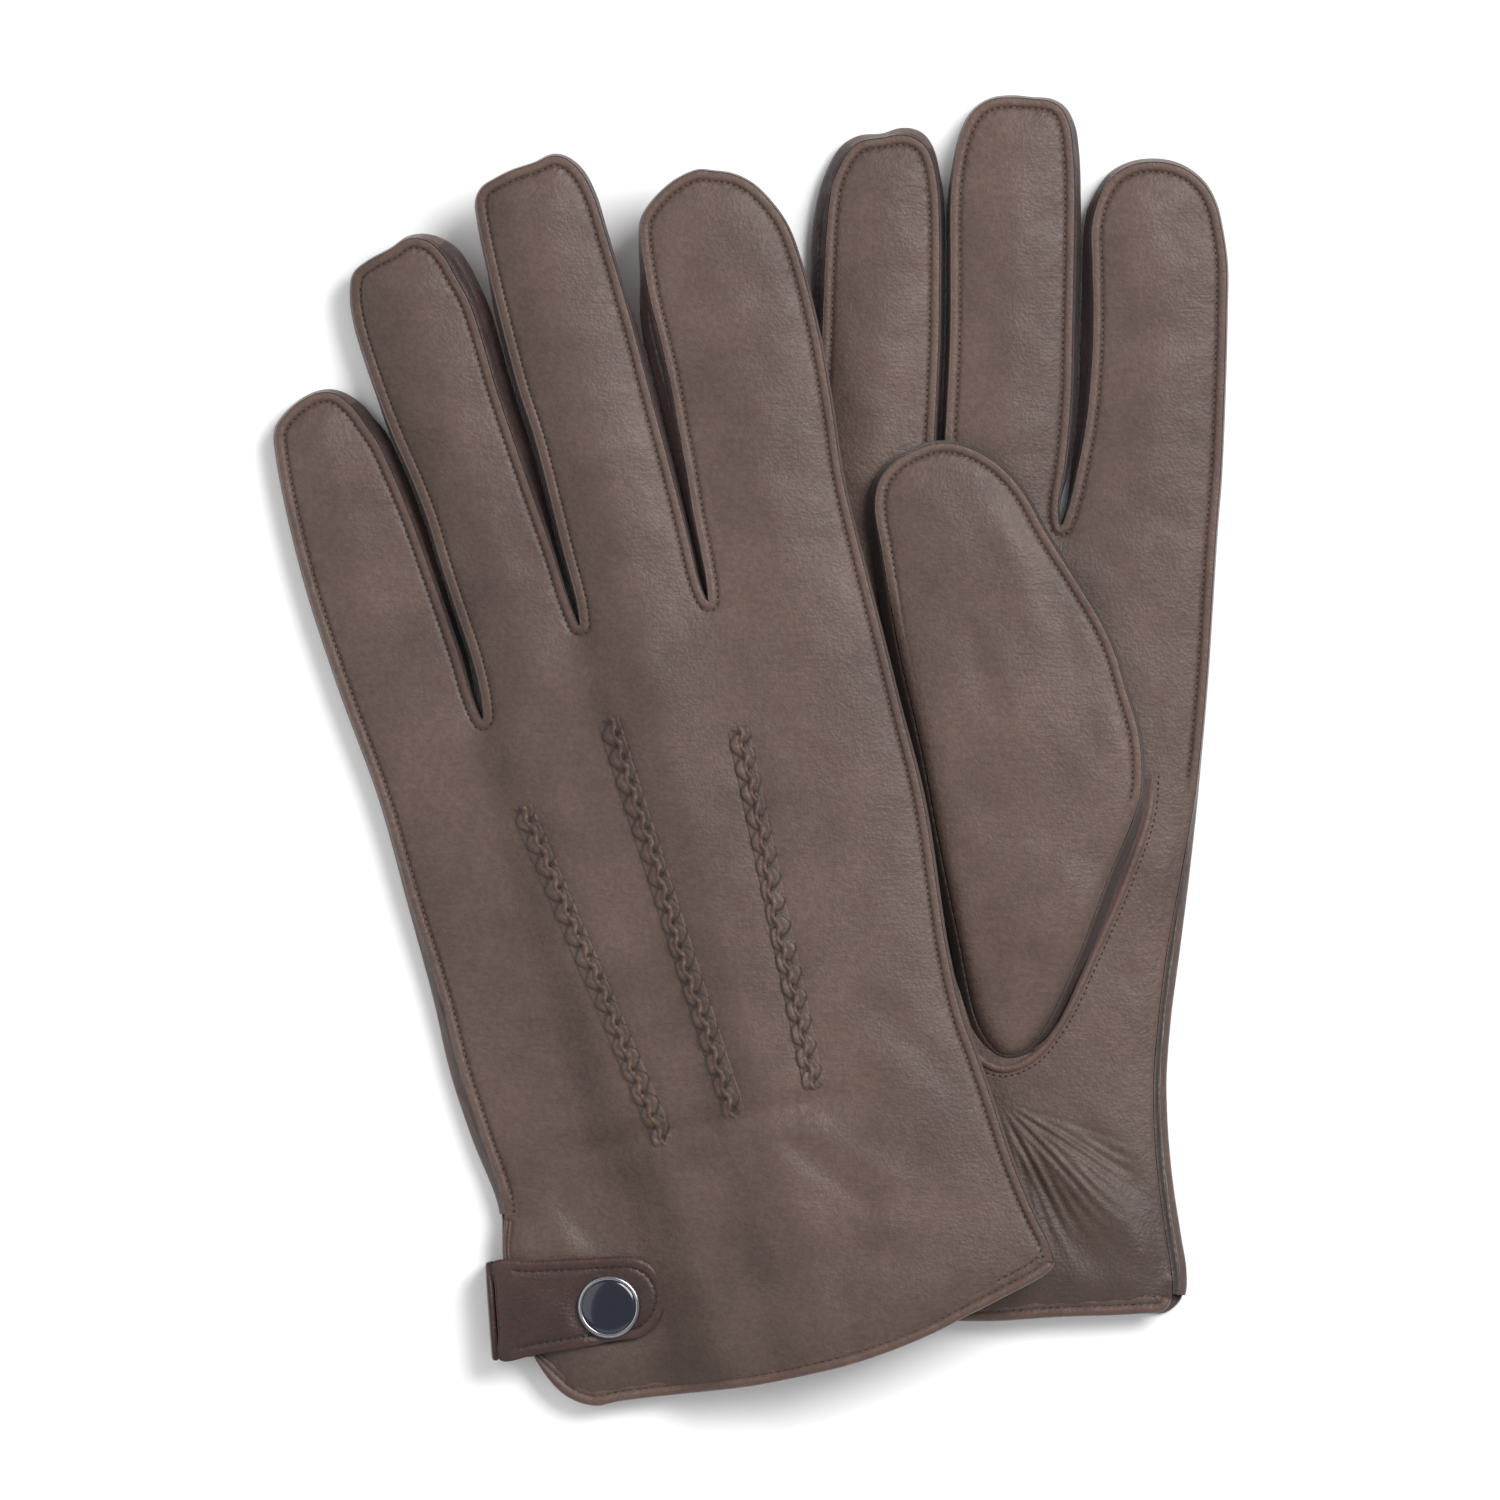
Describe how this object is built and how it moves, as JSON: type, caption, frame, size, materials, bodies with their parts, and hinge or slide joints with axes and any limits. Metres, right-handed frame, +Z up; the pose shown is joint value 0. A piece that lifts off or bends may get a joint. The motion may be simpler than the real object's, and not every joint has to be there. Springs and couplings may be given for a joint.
{
  "type": "pair of men's leather gloves",
  "caption": "Pair of men's lined leather gloves lying flat, one on the other, with raised points on the back, folded thumbs, bound hems and a snap strap at each cuff.",
  "frame": {"origin": "middle of the pair as it lies, on the table surface", "axes": "+Y towards the fingertips, +Z up from the table, +X towards the index side of the right glove"},
  "size_m": [0.1934, 0.2639, 0.0214],
  "materials": {
    "leather": "smooth brown nappa, satin",
    "fourchette_leather": "smooth dark brown leather",
    "strap_leather": "smooth brown leather, satin",
    "knit_lining": "fine dark knit",
    "elastic": "woven elastic",
    "cap": "glossy black with a bright rim",
    "snap_metal": "polished"
  },
  "bodies": {
    "right_hand": {"right_back_panel": "leather", "right_palm_panel": "leather", "right_fourchette_forks": "fourchette_leather", "right_hand_lining": "knit_lining", "right_wrist_elastic": "elastic", "right_hem": "leather", "right_points": "leather", "right_strap_anchor": "strap_leather", "right_snap_stud": "snap_metal", "right_snap_post": "snap_metal"},
    "left_hand": {"left_back_panel": "leather", "left_palm_panel": "leather", "left_fourchette_forks": "fourchette_leather", "left_hand_lining": "knit_lining", "left_wrist_elastic": "elastic", "left_hem": "leather", "left_points": "leather", "left_strap_anchor": "strap_leather", "left_snap_stud": "snap_metal", "left_snap_post": "snap_metal", "left_thumb_outer": "leather", "left_thumb_inner": "leather", "left_thumb_lining": "knit_lining"},
    "left_index": {"left_index_shell": "leather", "left_index_lining": "knit_lining", "left_index_ulnar_fourchette": "fourchette_leather"},
    "left_middle": {"left_middle_shell": "leather", "left_middle_lining": "knit_lining", "left_middle_radial_fourchette": "fourchette_leather", "left_middle_ulnar_fourchette": "fourchette_leather"},
    "left_ring": {"left_ring_shell": "leather", "left_ring_lining": "knit_lining", "left_ring_radial_fourchette": "fourchette_leather", "left_ring_ulnar_fourchette": "fourchette_leather"},
    "left_pinky": {"left_pinky_shell": "leather", "left_pinky_lining": "knit_lining", "left_pinky_radial_fourchette": "fourchette_leather"},
    "left_strap": {"left_strap": "strap_leather", "left_strap_backing": "strap_leather", "left_snap_cap": "cap", "left_snap_socket": "snap_metal"},
    "right_thumb": {"right_thumb_outer": "leather", "right_thumb_inner": "leather", "right_thumb_lining": "knit_lining"},
    "right_index": {"right_index_shell": "leather", "right_index_lining": "knit_lining", "right_index_ulnar_fourchette": "fourchette_leather"},
    "right_middle": {"right_middle_shell": "leather", "right_middle_lining": "knit_lining", "right_middle_radial_fourchette": "fourchette_leather", "right_middle_ulnar_fourchette": "fourchette_leather"},
    "right_ring": {"right_ring_shell": "leather", "right_ring_lining": "knit_lining", "right_ring_radial_fourchette": "fourchette_leather", "right_ring_ulnar_fourchette": "fourchette_leather"},
    "right_strap": {"right_strap": "strap_leather", "right_strap_backing": "strap_leather", "right_snap_cap": "cap", "right_snap_socket": "snap_metal"}
  },
  "joints": [
    {"name": "left_glove_lift", "type": "slide", "parent": "right_hand", "child": "left_hand", "axis": [0, 0, 1], "range_m": [0, 0.1]},
    {"name": "left_index_fold", "type": "hinge", "parent": "left_hand", "child": "left_index", "pos_m": [0.007, 0.03866, 0.0206], "axis": [0.9813, 0.1925, 0], "range_deg": [0, 30]},
    {"name": "left_middle_fold", "type": "hinge", "parent": "left_hand", "child": "left_middle", "pos_m": [-0.02247, 0.03352, 0.0206], "axis": [0.9641, 0.2656, 0], "range_deg": [0, 30]},
    {"name": "left_ring_fold", "type": "hinge", "parent": "left_hand", "child": "left_ring", "pos_m": [-0.04551, 0.02288, 0.0142], "axis": [0.9472, 0.3206, 0], "range_deg": [0, 30]},
    {"name": "left_pinky_fold", "type": "hinge", "parent": "left_hand", "child": "left_pinky", "pos_m": [-0.0675, 0.00838, 0.0064], "axis": [0.9403, 0.3404, 0], "range_deg": [0, 30]},
    {"name": "left_strap_open", "type": "hinge", "parent": "left_hand", "child": "left_strap", "pos_m": [-0.05099, -0.11203, 0.0094], "axis": [0.0732, -0.9973, 0], "range_deg": [0, 150]},
    {"name": "right_index_fold", "type": "hinge", "parent": "right_hand", "child": "right_index", "pos_m": [0.08033, 0.06643, 0.0072], "axis": [0.9993, -0.0384, 0], "range_deg": [0, 75]},
    {"name": "right_middle_fold", "type": "hinge", "parent": "right_hand", "child": "right_middle", "pos_m": [0.05188, 0.06852, 0.0072], "axis": [0.9994, -0.0349, 0], "range_deg": [0, 75]},
    {"name": "right_ring_fold", "type": "hinge", "parent": "right_hand", "child": "right_ring", "pos_m": [0.02427, 0.09359, 0.0072], "axis": [0.9998, -0.0175, 0], "range_deg": [0, 60]},
    {"name": "right_strap_open", "type": "hinge", "parent": "right_hand", "child": "right_strap", "pos_m": [-0.01517, -0.08542, 0.0011], "axis": [0.1771, 0.9842, 0], "range_deg": [0, 120]},
    {"name": "right_thumb_open", "type": "hinge", "parent": "right_hand", "child": "right_thumb", "pos_m": [0.06671, -0.06415, 0.0139], "axis": [0.2522, 0.9677, 0], "range_deg": [0, 140]}
  ]
}
